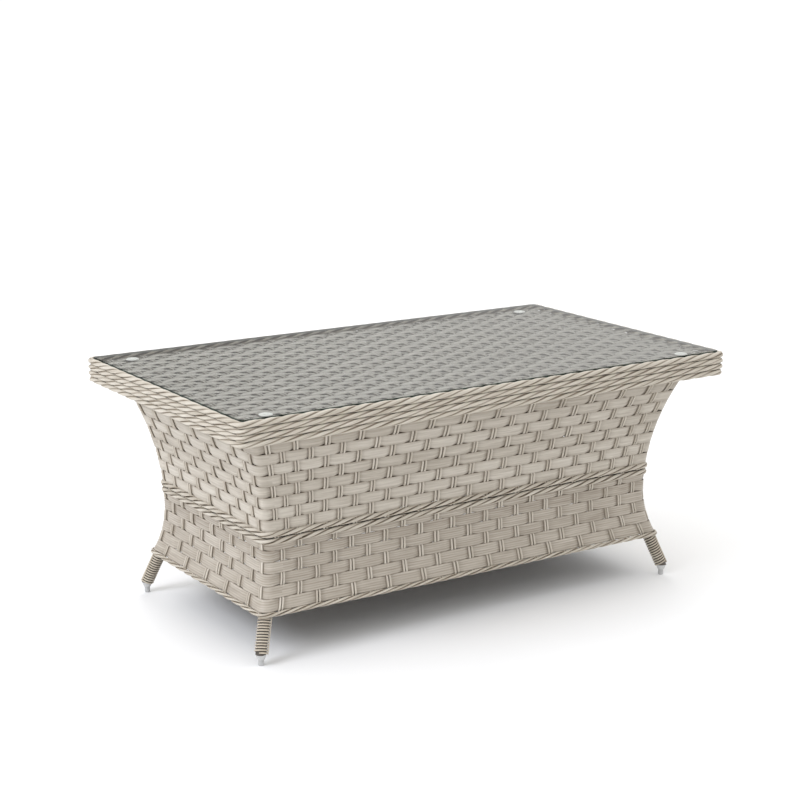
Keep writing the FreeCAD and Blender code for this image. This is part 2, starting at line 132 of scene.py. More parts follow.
body_ring = Ring(float(flare(np.array(BODY_TOP))[0]), BODY_CORNER)


def on_body(flat):
    """Carries (station, height, out) onto the flared body; out is from the middle of its weave."""
    station, z, out = flat[..., 0], flat[..., 1], flat[..., 2] - WEAVE_DEPTH
    inset, slope = flare(z)
    lean = np.sqrt(1 + slope**2)
    x, y = body_ring.place(station, inset, out / lean)
    return np.stack([x, y, z + out * slope / lean], axis=-1)


def on_ring(ring, inset):
    def carry(flat):
        x, y = ring.place(flat[..., 0], inset, flat[..., 2])
        return np.stack([x, y, flat[..., 1]], axis=-1)

    return carry


# ---------------------------------------------------------------- meshes


class Bundle:
    """Gathers swept strips and strands into one mesh."""

    def __init__(self):
        self.points, self.faces, self.weave, self.tone = [], [], [], []
        self.count = 0

    def sweep(self, grid, along, around, closed, painted_shade=0.0):
        """Adds a surface from a grid of points (stations x section), closed round its section.

        Painted shade says how much each point is painted darker for the shade in its crease, from 0 to 1; it
        goes beside the tone.
        """
        rows, columns = grid.shape[:2]
        index = np.arange(rows * columns).reshape(rows, columns) + self.count
        last = rows if closed else rows - 1
        here = np.arange(last)
        there = (here + 1) % rows
        side = np.arange(columns)
        beside = (side + 1) % columns
        quads = np.stack(
            [
                index[here][:, side],
                index[there][:, side],
                index[there][:, beside],
                index[here][:, beside],
            ],
            axis=-1,
        ).reshape(-1, 4)
        start = rng.uniform(0, UV_SPREAD)
        tone = rng.uniform(0, 1)
        along_next = np.append(along[1:], along[-1] + (along[-1] - along[-2]))
        around_next = np.append(around[1:], 2 * around[-1] - around[-2])
        u0, u1 = along[:last], along_next[:last]
        corner_u = np.stack([u0, u1, u1, u0], axis=-1)[:, None, :] + start
        corner_v = np.stack([around, around, around_next, around_next], axis=-1)[None, :, :]
        corner_v = corner_v + start * UV_SLANT
        shape = (last, columns, 4)
        uv = np.stack([np.broadcast_to(corner_u, shape), np.broadcast_to(corner_v, shape)], axis=-1)
        self.points.append(grid.reshape(-1, 3))
        self.faces.append(quads)
        self.weave.append(uv.reshape(-1, 2))
        # The second tone channel carries the painted shade, which the material multiplies into the colour.
        depth = np.broadcast_to(painted_shade, (rows, columns)).ravel()[quads - self.count]
        self.tone.append(np.stack([np.full(depth.shape, tone), depth], axis=-1).reshape(-1, 2))
        self.count += rows * columns
        if not closed:
            self.cap(index[0][::-1], start)
            self.cap(index[-1], start)

    def cap(self, loop, start):
        """Closes an end with a strip of quads between its two halves."""
        half = len(loop) // 2
        pairs = [(loop[n], loop[n + 1], loop[-n - 2], loop[-n - 1]) for n in range(half - 1)]
        faces = np.array(pairs)
        self.faces.append(faces)
        self.weave.append(np.full((faces.size, 2), start))
        # End caps get the middle tone and half the painted shade.
        self.tone.append(np.full((faces.size, 2), MIDDLE_TONE_AND_SHADE))

    def build(self, name, material, carry, body, slot, nodes):
        points = carry(np.concatenate(self.points))
        faces = np.concatenate(self.faces)
        mesh = bpy.data.meshes.new(name)
        mesh.vertices.add(len(points))
        mesh.vertices.foreach_set("co", points.astype(np.float32).ravel())
        mesh.loops.add(faces.size)
        mesh.loops.foreach_set("vertex_index", faces.astype(np.int32).ravel())
        mesh.polygons.add(len(faces))
        mesh.polygons.foreach_set("loop_start", np.arange(0, faces.size, 4, dtype=np.int32))
        for layer, values in ((WEAVE_UV, self.weave), (TONE_AND_SHADE_UV, self.tone)):
            uv = mesh.uv_layers.new(name=layer)
            uv.data.foreach_set("uv", np.concatenate(values).astype(np.float32).ravel())
        mesh.update(calc_edges=True)
        mesh.validate()
        mesh.shade_smooth()
        return finish_piece(name, mesh, material, body, nodes)


def finish_piece(name, mesh, material, body, nodes):
    mesh.materials.append(material)
    piece = bpy.data.objects.new(name, mesh)
    bpy.context.scene.collection.objects.link(piece)
    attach(piece, body)
    if nodes:
        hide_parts(*nodes)
    return piece


def sides(name):
    return ["%s_%s" % (name, side) for side in ("front", "right", "back", "left")]


def wander(count, size, cycles):
    """A smooth random curve over a closed run of samples."""
    turn = np.arange(count) / count * TAU
    total = np.zeros(count)
    for cycle in cycles:
        total += np.cos(turn * cycle + rng.uniform(0, TAU)) * rng.uniform(0.4, 1)
    return total * size / len(cycles)


def stations(marks, total, step):
    """Stations round a closed line with about one step between them, and the mark index at each."""
    ahead = np.append(marks[1:], marks[0] + total)
    where, index = [], []
    for n, (start, end) in enumerate(zip(marks, ahead)):
        count = max(FEWEST_STEPS, int(round((end - start) / step)))
        share = np.arange(count) / count
        where.append(start + (end - start) * share)
        index.append(n + share)
    return np.concatenate(where), np.concatenate(index)


# ---------------------------------------------------------------- materials


def new_material(name):
    material = bpy.data.materials.new(name)
    material.use_nodes = True
    tree = material.node_tree
    tree.nodes.clear()
    output = tree.nodes.new("ShaderNodeOutputMaterial")
    shader = tree.nodes.new("ShaderNodeBsdfPrincipled")
    tree.links.new(shader.outputs[0], output.inputs[0])
    return material, tree, shader


def node(tree, kind, inputs=None, **settings):
    made = tree.nodes.new(kind)
    for key, value in settings.items():
        setattr(made, key, value)
    for key, value in (inputs or {}).items():
        socket = made.inputs[key]
        if isinstance(value, bpy.types.NodeSocket):
            tree.links.new(value, socket)
        else:
            socket.default_value = value
    return made


def noise(tree, vector, scale, detail=3.0, rough=0.5):
    made = node(tree, "ShaderNodeTexNoise", {"Vector": vector, "Scale": scale})
    made.inputs["Detail"].default_value = detail
    made.inputs["Roughness"].default_value = rough
    return made.outputs["Fac"]


def remap(tree, value, low, high, to_low, to_high):
    made = node(
        tree,
        "ShaderNodeMapRange",
        {"Value": value, "From Min": low, "From Max": high, "To Min": to_low, "To Max": to_high},
    )
    return made.outputs["Result"]


def math_node(tree, operation, a, b):
    return node(tree, "ShaderNodeMath", {0: a, 1: b}, operation=operation).outputs[0]


def ramp(tree, value, stops):
    made = node(tree, "ShaderNodeValToRGB", {"Fac": value})
    while len(made.color_ramp.elements) < len(stops):
        made.color_ramp.elements.new(0.5)
    for element, (place, colour) in zip(made.color_ramp.elements, stops):
        element.position = place
        element.color = (*colour, 1)
    return made.outputs["Color"]


def stretched(tree, along, across):
    uv = node(tree, "ShaderNodeUVMap", uv_map=WEAVE_UV).outputs["UV"]
    return node(
        tree, "ShaderNodeMapping", {"Vector": uv, "Scale": (along, across, 1.0)}
    ).outputs["Vector"]


# Scales along and across a strand, in repeats per metre, and how much each pattern counts.
BROAD_STREAKS = (11.0, 260.0)
FINE_STREAKS = (30.0, 1500.0)
CLOUDS = (3.0, 20.0)
BROAD_SHARE, FINE_SHARE, CLOUD_SHARE = 0.52, 0.26, 0.22
TONE_SWING = 0.045
STREAK_BUMP = 0.6


def resin_strand(name, dark, mid, light, roughness, streak_depth, specular=0.42):
    """Extruded resin strand: brushed streaks along its length, each strand in a tone of its own, and painted
    shade in its creases.
    """
    material, tree, shader = new_material(name)
    broad = noise(tree, stretched(tree, *BROAD_STREAKS), 1.0, 3.0, 0.55)
    fine = noise(tree, stretched(tree, *FINE_STREAKS), 1.0, 4.0, 0.6)
    cloud = noise(tree, stretched(tree, *CLOUDS), 1.0, 2.0, 0.5)
    tone = node(tree, "ShaderNodeUVMap", uv_map=TONE_AND_SHADE_UV)
    own = node(tree, "ShaderNodeSeparateXYZ", {"Vector": tone.outputs["UV"]})
    tone, painted_shade = own.outputs["X"], own.outputs["Y"]
    mixed = math_node(tree, "MULTIPLY", broad, BROAD_SHARE)
    mixed = math_node(tree, "ADD", mixed, math_node(tree, "MULTIPLY", fine, FINE_SHARE))
    mixed = math_node(tree, "ADD", mixed, math_node(tree, "MULTIPLY", cloud, CLOUD_SHARE))
    mixed = math_node(tree, "ADD", mixed, remap(tree, tone, 0.0, 1.0, -TONE_SWING, TONE_SWING))
    colour = ramp(tree, mixed, ((0.30, dark), (0.50, mid), (0.70, light)))
    # Painted shade: the colour is multiplied towards a dark brown by each point's painted shade, in place of
    # the shade in creases and behind crossings.
    shaded = node(
        tree, "ShaderNodeMix", {0: painted_shade, 6: colour, 7: (*PAINTED_SHADE_COLOUR, 1)},
        data_type="RGBA", blend_type="MULTIPLY",
    )
    tree.links.new(shaded.outputs[2], shader.inputs["Base Color"])
    tree.links.new(
        remap(tree, fine, 0.3, 0.7, roughness - 0.07, roughness + 0.09), shader.inputs["Roughness"]
    )
    height = math_node(tree, "ADD", math_node(tree, "MULTIPLY", broad, 0.7), fine)
    bump = node(
        tree, "ShaderNodeBump", {"Height": height, "Strength": STREAK_BUMP, "Distance": streak_depth}
    )
    tree.links.new(bump.outputs["Normal"], shader.inputs["Normal"])
    shader.inputs["Specular IOR Level"].default_value = specular
    return material


def plain_finish(name, dark, light, roughness, grain, metallic=0.0, bump_depth=0.00008):
    """Painted metal or moulded plastic, with a fine grain, clouded colour and uneven gloss."""
    material, tree, shader = new_material(name)
    place = node(tree, "ShaderNodeTexCoord").outputs["Object"]
    cloud = noise(tree, place, 14.0, 4.0, 0.55)
    speck = noise(tree, place, grain, 3.0, 0.6)
    clouded = math_node(tree, "MULTIPLY", cloud, 0.6)
    mixed = math_node(tree, "ADD", clouded, math_node(tree, "MULTIPLY", speck, 0.4))
    tree.links.new(ramp(tree, mixed, ((0.35, dark), (0.65, light))), shader.inputs["Base Color"])
    tree.links.new(
        remap(tree, mixed, 0.35, 0.65, roughness - 0.08, roughness + 0.08), shader.inputs["Roughness"]
    )
    bump = node(tree, "ShaderNodeBump", {"Height": speck, "Strength": 0.5, "Distance": bump_depth})
    tree.links.new(bump.outputs["Normal"], shader.inputs["Normal"])
    shader.inputs["Metallic"].default_value = metallic
    return material


GLASS_TINT = (0.880, 0.884, 0.872, 1)
GLASS_IOR = 1.5
GLASS_GLOSS_SHARE = 0.62
# Edge colour: the glass's own dark green, painted darker for the shadow in the gap beneath the glass.
EDGE_COLOUR_AND_SHADE = (0.006, 0.016, 0.014, 1)
EDGE_TINT = (0.20, 0.34, 0.31, 1)
EDGE_SOLIDITY = 0.82
EDGE_INSIDE = (0.200, 0.200, 0.185, 1)


def glass_material():
    """Clear float glass: faintly green face on, dark green through its ground edge, with the edge painted
    darker still for the shadow in the gap under the glass.
    """
    material = bpy.data.materials.new("float_glass")
    material.use_nodes = True
    tree = material.node_tree
    tree.nodes.clear()
    output = tree.nodes.new("ShaderNodeOutputMaterial")
    place = node(tree, "ShaderNodeTexCoord").outputs["Object"]
    ripple = noise(tree, place, 9.0, 2.0, 0.5)
    smear = noise(tree, place, 30.0, 4.0, 0.6)
    bump = node(tree, "ShaderNodeBump", {"Height": ripple, "Strength": 0.05, "Distance": 0.0005})
    clear = node(tree, "ShaderNodeBsdfTransparent", {"Color": GLASS_TINT})
    gloss = node(tree, "ShaderNodeBsdfAnisotropic", {"Color": (1, 1, 1, 1), "Normal": bump.outputs["Normal"]})
    tree.links.new(remap(tree, smear, 0.3, 0.7, 0.03, 0.09), gloss.inputs["Roughness"])
    fresnel = node(tree, "ShaderNodeFresnel", {"IOR": GLASS_IOR, "Normal": bump.outputs["Normal"]})
    behind = node(tree, "ShaderNodeNewGeometry").outputs["Backfacing"]
    outside = remap(tree, behind, 0.0, 1.0, GLASS_GLOSS_SHARE, 0.0)
    share = math_node(tree, "MULTIPLY", fresnel.outputs[0], outside)
    pane = node(tree, "ShaderNodeMixShader", {0: share, 1: clear.outputs[0], 2: gloss.outputs[0]})
    edge = node(tree, "ShaderNodeBsdfPrincipled", {"Base Color": EDGE_COLOUR_AND_SHADE})
    tree.links.new(remap(tree, smear, 0.3, 0.7, 0.12, 0.26), edge.inputs["Roughness"])
    edge_clear = node(tree, "ShaderNodeBsdfTransparent", {"Color": EDGE_TINT})
    band = node(
        tree, "ShaderNodeMixShader", {0: EDGE_SOLIDITY, 1: edge_clear.outputs[0], 2: edge.outputs[0]}
    )
    facing = node(tree, "ShaderNodeNewGeometry").outputs["Normal"]
    up = node(tree, "ShaderNodeSeparateXYZ", {"Vector": facing}).outputs["Z"]
    side = remap(tree, math_node(tree, "ABSOLUTE", up, 0.0), 0.55, 0.75, 1.0, 0.0)
    inner = node(tree, "ShaderNodeBsdfPrincipled", {"Base Color": EDGE_INSIDE})
    tree.links.new(remap(tree, smear, 0.3, 0.7, 0.35, 0.55), inner.inputs["Roughness"])
    band = node(tree, "ShaderNodeMixShader", {0: behind, 1: band.outputs[0], 2: inner.outputs[0]})
    both = node(tree, "ShaderNodeMixShader", {0: side, 1: pane.outputs[0], 2: band.outputs[0]})
    tree.links.new(both.outputs[0], output.inputs[0])
    return material


# Painted shade colour, multiplied into the strands where they would lie in shade.
PAINTED_SHADE_COLOUR = (0.30, 0.235, 0.165)
SKIRT_COLOURS = ((0.325, 0.284, 0.230), (0.490, 0.444, 0.378), (0.630, 0.588, 0.518))
# Painted shade: the lower strands are the wall resin painted a little darker and browner, standing in for the
# shade under the table's overhang.
LOWER_SHADED_COLOURS = ((0.315, 0.272, 0.220), (0.475, 0.427, 0.362), (0.612, 0.566, 0.497))
# Painted shade: the deck strands are the wall resin painted about a third darker, standing in for the dimmer
# light under the glass.
DECK_SHADED_COLOURS = ((0.225, 0.205, 0.178), (0.325, 0.302, 0.268), (0.425, 0.399, 0.360))
WRAP_COLOURS = ((0.375, 0.320, 0.245), (0.545, 0.483, 0.392), (0.680, 0.625, 0.535))
STAKE_COLOURS = ((0.360, 0.315, 0.250), (0.535, 0.485, 0.410), (0.680, 0.635, 0.560))
ROPE_COLOURS = ((0.375, 0.329, 0.260), (0.552, 0.503, 0.426), (0.692, 0.650, 0.575))
weave_finish = resin_strand("flat_resin_strand", *SKIRT_COLOURS, 0.52, 0.00022)
lower_shaded_finish = resin_strand("lower_resin_strand_painted_shade", *LOWER_SHADED_COLOURS, 0.42, 0.00022)
deck_shaded_finish = resin_strand("deck_resin_strand_painted_shade", *DECK_SHADED_COLOURS, 0.24, 0.00010, 1.0)
stake_finish = resin_strand("round_resin_strand", *STAKE_COLOURS, 0.50, 0.00015)
rope_finish = resin_strand("twined_resin_strand", *ROPE_COLOURS, 0.50, 0.00020)
wrap_finish = resin_strand("wrapped_resin_strand", *WRAP_COLOURS, 0.50, 0.00015)
frame_finish = plain_finish("powder_coat", (0.060, 0.050, 0.040), (0.105, 0.090, 0.075), 0.48, 900.0)
plug_finish = plain_finish("plug_plastic", (0.50, 0.50, 0.50), (0.66, 0.66, 0.65), 0.42, 500.0)
foot_finish = plain_finish("foot_plastic", (0.42, 0.42, 0.42), (0.56, 0.56, 0.55), 0.40, 500.0)
disc_finish = plain_finish("clear_silicone", (0.84, 0.84, 0.825), (0.92, 0.92, 0.905), 0.25, 300.0)

# ---------------------------------------------------------------- the woven walls


RIB_HEIGHT = 1.45
GROOVE_HEIGHT = 0.85
RIB_LINES = 11


def flat_section(groove, arched=False):
    """Across and out shares of a flat strand's section, going up its front and down its back."""
    if arched:
        front = [(-0.93, 0.0), (-0.6, 1.7), (-0.2, 2.75), (0.2, 2.75), (0.6, 1.7), (0.93, 0.0)]
    elif groove:
        rib = np.linspace(-0.95, 0.95, RIB_LINES)
        front = [(across, RIB_HEIGHT if n % 2 else GROOVE_HEIGHT) for n, across in enumerate(rib)]
    else:
        front = [(-0.93, 0.9), (-0.5, 1.25), (0, 1.4), (0.5, 1.25), (0.93, 0.9)]
    return np.array(front + [(1, 0), (0.9, -0.9), (0, -0.9), (-0.9, -0.9), (-1, 0)])


FLAT_THICK = 0.0006
ROUND_SIDES = 8
STRIP_STEP = 0.0048
WEAVE_SWING = 0.0014
STAKE_RADIUS = 0.0025
STAKE_GAP = 0.0020
UPPER_TOP_SHADE = 0.25
LOWER_TOP_SHADE = 0.20
UPPER_PINCH = 0.10
LOWER_PINCH = 0.045
STRIP_COVER = 1.022
STRIP_TILT = 0.006
# Painted shade on the flat strands: their edges, their dives behind stakes, the groove floors, and the top
# rows under the rope.
EDGE_PAINTED_SHADE = 0.22
DIVE_PAINTED_SHADE = 0.24
GROOVE_PAINTED_SHADE = 0.35
SHADED_ROWS = 2


def strip_wave(index, pitch, pinch):
    """A flat strand's swing, half width and rise: narrow and lifted where it goes behind a stake."""
    swing = np.cos(math.pi * index)
    over = np.clip(np.tanh(3.0 * (swing + 0.40)) / math.tanh(1.8), -1, 1)
    behind = np.clip(-swing, 0, 1) ** 7
    half = pitch / 2 * (STRIP_COVER - pinch * behind)
    return over, half, pitch / 2 * pinch * 0.9 * behind


def strip_painted_shade(section, over, edge, dive_share):
    """Painted shade of a flat strand: darker at its two edges, all over its back, and where it goes in behind
    a stake.
    """
    rim = np.where(np.abs(section[:, 0]) > 0.9, edge, 0.0)
    own = np.where(section[:, 1] > 0.1, rim, 1.0)
    inwards = np.clip(-over, 0, 1) ** 2 * dive_share
    return np.clip(own[None, :] + inwards[:, None], 0, 1)


def weave_strips(bundle, marks, total, levels, pitch, groove, top_shade, pinch):
    """Flat strands round a wall, one for each level, over and under the stakes in turn."""
    section = flat_section(groove)
    around = np.concatenate([[0], np.cumsum(np.abs(np.diff(section[:, 0])) * pitch / 2)])
    where, index = stations(marks, total, STRIP_STEP)
    for row, level in enumerate(levels):
        over, half, rise = strip_wave(index + row, pitch, pinch)
        count = len(where)
        half = half * (1 + wander(count, 0.015, (5, 11, 23, 41)))
        middle = level + rise + wander(count, 0.0005, (3, 7, 13, 29))
        out = WEAVE_SWING * over + wander(count, 0.00025, (9, 17, 37))
        lean = wander(count, 0.05, (7, 19, 31))
        z = middle[:, None] + section[None, :, 0] * half[:, None]
        n = out[:, None] + section[None, :, 1] * FLAT_THICK + section[None, :, 0] * lean[:, None] * STRIP_TILT
        p = np.broadcast_to(where[:, None], z.shape)
        # Painted shade: edges, backs, dives and groove floors, and the top rows painted darker towards their
        # upper edge, under the rope above them.
        painted_shade = strip_painted_shade(section, over, EDGE_PAINTED_SHADE, DIVE_PAINTED_SHADE)
        if groove:
            floor_of_groove = np.abs(section[:, 1] - GROOVE_HEIGHT) < 0.01
            painted_shade = np.maximum(painted_shade, np.where(floor_of_groove, GROOVE_PAINTED_SHADE, 0.0)[None, :])
        if row < SHADED_ROWS:
            painted_shade = np.clip(painted_shade + top_shade * (1 + section[None, :, 0]) / 2, 0, 1)
        bundle.sweep(np.stack([p, z, n], axis=-1), where, around, True, painted_shade)


def dive(row_phase, depth):
    """How far out a stake stands along its length: out where it shows, in under the next strip."""
    swing = np.cos(math.pi * row_phase)
    return depth * np.tanh(3.8 * (swing - 0.06))


STAKE_SAMPLES = np.array([0.0, 0.33, 0.42, 0.48, 0.54, 0.61, 0.69])


def weave_stakes(bundle, marks, levels, pitch, parity, top, bottom, radius, depth):
    """Pairs of round stakes down the wall, from top to bottom."""
    rows = np.arange(-2, len(levels) + 2)
    phase = (rows[:, None] + STAKE_SAMPLES[None, :]).ravel()
    z = levels[0] - phase * pitch
    keep = (z < top) & (z > bottom)
    phase = np.concatenate([[(levels[0] - top) / pitch], phase[keep], [(levels[0] - bottom) / pitch]])
    z = levels[0] - phase * pitch
    turn = np.arange(ROUND_SIDES) / ROUND_SIDES * TAU
    around = turn * radius
    # Painted shade: each stake painted darker down its sides and over its back, away from its outer crest.
    painted_shade = np.clip(0.22 - 0.75 * np.cos(turn), 0, 1) ** 0.8
    for number, mark in enumerate(marks):
        out = dive(phase + number + parity + 1, depth)
        spread = 1 + rng.normal(0, 0.05)
        slip = rng.normal(0, 0.0004)
        for hand in (-1, 1):
            wave = wander(len(z), 0.0003, (2, 5, 9)) + hand * (STAKE_GAP / 2 + radius) * spread + slip
            own = out + rng.normal(0, 0.0002)
            p = mark + wave[:, None] + np.sin(turn)[None, :] * radius
            n = own[:, None] + np.cos(turn)[None, :] * radius * 0.9
            grid = np.stack([p, np.broadcast_to(z[:, None], p.shape), n], axis=-1)
            bundle.sweep(grid, -z, around, False, painted_shade)


def ring_marks(long_side, short_side, jitter):
    """Stations of the stakes round the body, from each side's own offsets from its middle."""
    marks = []
    for side in range(4):
        offsets = long_side if side % 2 == 0 else short_side
        middle = body_ring.starts[2 * side] + body_ring.lengths[2 * side] / 2
        marks.append(middle + np.array(offsets) + rng.normal(0, jitter, len(offsets)))
    return np.concatenate(marks)


def mirrored(half):
    return [-v for v in reversed(half)] + [0.0] + list(half)


MARK_JITTER = 0.0012
UPPER_PITCH = 0.0226
UPPER_FIRST = 0.4334
UPPER_ROWS = 9
UPPER_STAKE_ENDS = (0.4405, 0.2290)
upper_levels = UPPER_FIRST - UPPER_PITCH * np.arange(UPPER_ROWS)
upper_long = mirrored([0.0390 * n for n in range(1, 9)] + [0.3500, 0.3860, 0.4200, 0.4510, 0.4790])
upper_short = mirrored([0.0425, 0.0850, 0.1270, 0.1680, 0.2070, 0.2430])
upper_marks = ring_marks(upper_long, upper_short, MARK_JITTER)

LOWER_PITCH = 0.0219
LOWER_FIRST = 0.2150
LOWER_ROWS = 6
LOWER_STAKE_ENDS = (0.2270, 0.0900)
lower_levels = LOWER_FIRST - LOWER_PITCH * np.arange(LOWER_ROWS)
top_run, short_run = body_ring.runs


def at_waist(offset, own):
    """The station whose place at the waist is the given offset from a side's middle."""
    run = own - (WAIST_INSET - (HALF_LONG - BODY_CORNER - top_run))
    share = np.linspace(0, 1, 400)
    place = share * own - (own - run) * share**FAN_POWER
    return float(np.sign(offset) * np.interp(abs(offset), place, share) * own)


lower_long = [at_waist(v, top_run) for v in mirrored([0.0380 * n for n in range(1, 11)] + [0.4150])]
lower_short = [at_waist(v, short_run) for v in mirrored([0.0410 * n for n in range(1, 6)])]
lower_marks = ring_marks(lower_long, lower_short, MARK_JITTER)

upper_strips = Bundle()
weave_strips(
    upper_strips, upper_marks, body_ring.total, upper_levels, UPPER_PITCH, False,
    UPPER_TOP_SHADE, UPPER_PINCH,
)
upper_strips.build("upper_strips", weave_finish, on_body, "table", "weave", sides("upper_skirt"))
upper_stakes = Bundle()
weave_stakes(
    upper_stakes, upper_marks, upper_levels, UPPER_PITCH, 0, *UPPER_STAKE_ENDS, STAKE_RADIUS, WEAVE_SWING
)
upper_stakes.build("upper_stakes", stake_finish, on_body, "table", "weave", [])
lower_strips = Bundle()
weave_strips(
    lower_strips, lower_marks, body_ring.total, lower_levels, LOWER_PITCH, True,
    LOWER_TOP_SHADE, LOWER_PINCH,
)
lower_strips.build("lower_strips", lower_shaded_finish, on_body, "table", "weave", sides("lower_skirt"))
lower_stakes = Bundle()
weave_stakes(
    lower_stakes, lower_marks, lower_levels, LOWER_PITCH, 0, *LOWER_STAKE_ENDS, STAKE_RADIUS, WEAVE_SWING
)
lower_stakes.build("lower_stakes", stake_finish, on_body, "table", "weave", [])

# ---------------------------------------------------------------- the deck

deck_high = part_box("deck_weave")[1]
DECK_PITCH = 0.0220
DECK_STAKE_PITCH = 0.0370
DECK_REACH = 0.0022
DECK_STATIONS = 239
DECK_SWING = 0.0016
DECK_STAKE_RADIUS = 0.0022
DECK_PARITY = 1
DECK_REPEATS = 14
DECK_COVER = 1.010
DECK_SWELL = 0.045
DECK_EDGE_PAINTED_SHADE = 0.42
DECK_EDGE_POWER = 2.2
DECK_DIVE_PAINTED_SHADE = 0.08
deck_middle = deck_high.z - DECK_SWING - DECK_STAKE_RADIUS
deck_half_x, deck_half_y = deck_high.x, deck_high.y
deck_rows = np.arange(-DECK_REPEATS, DECK_REPEATS) * DECK_PITCH + DECK_PITCH / 2
deck_columns = np.arange(-DECK_REPEATS, DECK_REPEATS + 1) * DECK_STAKE_PITCH


def on_deck(flat):
    return np.stack([flat[..., 0], flat[..., 1], deck_middle + flat[..., 2]], axis=-1)


def deck_strips():
    bundle = Bundle()
    section = flat_section(False, True)
    around = np.concatenate([[0], np.cumsum(np.abs(np.diff(section[:, 0])) * DECK_PITCH / 2)])
    where = np.linspace(-deck_half_x - DECK_REACH, deck_half_x + DECK_REACH, DECK_STATIONS)
    index = where / DECK_STAKE_PITCH
    for number, y in enumerate(deck_rows):
        swing = np.cos(math.pi * (index + number))
        over = np.tanh(1.3 * (swing + 0.25)) / math.tanh(1.625)
        half = DECK_PITCH / 2 * (DECK_COVER + DECK_SWELL * over)
        count = len(where)
        half = half * (1 + wander(count, 0.015, (3, 7, 13)))
        middle = y + wander(count, 0.0005, (2, 5, 9))
        out = DECK_SWING * over
        across = middle[:, None] + section[None, :, 0] * half[:, None]
        n = out[:, None] + section[None, :, 1] * FLAT_THICK
        p = np.broadcast_to(where[:, None], across.shape)
        # Painted shade: each deck strip darker towards its edges and where it dives, so its lit middle shows
        # as a lens-shaped highlight; its back is painted fully dark.
        lens = DECK_EDGE_PAINTED_SHADE * np.abs(section[None, :, 0]) ** DECK_EDGE_POWER
        lens = lens + DECK_DIVE_PAINTED_SHADE * (1 - over[:, None])
        painted_shade = np.where(section[None, :, 1] > 0.1, np.clip(lens, 0, 1), 1.0)
        bundle.sweep(np.stack([p, across, n], axis=-1), where, around, False, painted_shade)
    return bundle


def deck_stakes():
    bundle = Bundle()
    levels = deck_rows[::-1]
    weave_stakes(
        bundle, deck_columns, levels, DECK_PITCH, DECK_PARITY,
        deck_half_y, -deck_half_y, DECK_STAKE_RADIUS, DECK_SWING,
    )
    return bundle


deck_strips().build("deck_strips", deck_shaded_finish, on_deck, "table", "deck", ["deck_weave"])
deck_stakes().build("deck_stakes", deck_shaded_finish, on_deck, "table", "deck", [])

# ---------------------------------------------------------------- twined ropes

ROPE_STRANDS = 3
ROPE_SIDES = 12
ROPE_LINGER = 0.19
ROPE_LENS = 0.14
ROPE_WAVER = 0.3
FURROW_DEPTH = 0.16
FURROW_WIDTH = 0.30
FURROW_PAINTED_SHADE = 0.05


def rope(bundle, ring, level, lay, outer_depth, outer_rise, step, fullness):
    """A rope of three twined strands, laid round a ring at one height.

    Each strand is a close pair of rounds, so it is wide and has a furrow along its outer face. It
    lies longest on the rope's outer side and turns under quickly, as twining over stakes does.
    """
    start = rng.uniform(0, TAU)
    turns = round(ring.total / lay)
    count = int(ring.total / step)
    where = np.arange(count) / count * ring.total
    side = np.arange(ROPE_SIDES) / ROPE_SIDES * TAU
    furrow = np.exp(-((np.mod(side + 1, TAU) - 1) / FURROW_WIDTH) ** 2)
    bulge = np.cos(side) - FURROW_DEPTH * furrow
    # Painted shade: each strand darker down its sides and back, where it meets its neighbours, and a little
    # along its furrow.
    painted_shade = np.clip(np.clip(0.56 - 0.80 * np.cos(side), 0, 1) + FURROW_PAINTED_SHADE * furrow, 0, 1)
    sag = wander(count, 0.0003, (4, 9, 15, 27))
    for number in range(ROPE_STRANDS):
        phase = where / ring.total * TAU * turns + TAU * number / ROPE_STRANDS + start
        phase = phase + wander(count, ROPE_WAVER, (11, 23, 37))
        phase = phase - ROPE_LINGER * np.sin(phase)
        grow = 1 + wander(count, 0.06, (13, 29, 43)) + ROPE_LENS * np.cos(phase)
        thick, wide = fullness * outer_depth * grow, fullness * outer_rise * grow
        out, up = np.cos(phase), np.sin(phase)
        radial = bulge[None, :] * thick[:, None]
        tangent = np.sin(side)[None, :] * wide[:, None]
        centre_out, centre_up = (0.98 - fullness) * outer_depth * out, (1.01 - fullness) * outer_rise * up
        n = centre_out[:, None] + radial * out[:, None] - tangent * up[:, None]
        z = level + (sag + centre_up)[:, None] + radial * up[:, None] + tangent * out[:, None]
        grid = np.stack([np.broadcast_to(where[:, None], n.shape), z, n], axis=-1)
        bundle.sweep(grid, where, side * 0.0032, True, painted_shade)


RIM_CORNER = 0.012
RIM_ROPE_DEPTH = 0.0055
RIM_ROPE_RISE = 0.0059
RIM_ROPE_PITCH = 0.0120
ROW_OVERLAP = 0.0008
RIM_CROWN = 0.0013
RIM_STEP = 0.0045
RIM_FULLNESS = 0.46
RIM_ROWS = 4
RIM_TUCK = 0.0008
RIM_LAY = 0.116
rim_first = rim_high.z - RIM_ROPE_RISE
for row in range(RIM_ROWS):
    tuck = RIM_TUCK if row == RIM_ROWS - 1 else 0.0
    crown = RIM_CROWN if row == 0 else 0.0
    rim_ring = Ring(RIM_ROPE_DEPTH + tuck, RIM_CORNER - RIM_ROPE_DEPTH)
    rim_rope = Bundle()
    rope(
        rim_rope, rim_ring, rim_first - row * RIM_ROPE_PITCH + crown / 2, RIM_LAY,
        RIM_ROPE_DEPTH, RIM_ROPE_RISE + ROW_OVERLAP + crown / 2, RIM_STEP, RIM_FULLNESS,
    )
    rim_rope.build(
        "rim_rope_%d" % (row + 1), rope_finish, on_ring(rim_ring, RIM_ROPE_DEPTH + tuck),
        "table", "rope", sides("rim_weave"),
    )


BODY_ROPE_DEPTH = 0.0047
BODY_ROPE_LAY = 0.100
BODY_STEP = 0.0042
BODY_FULLNESS = 0.42
ROPE_SEAT = 0.001
WAIST_RISE = 0.0059
WAIST_REACH = 0.0071


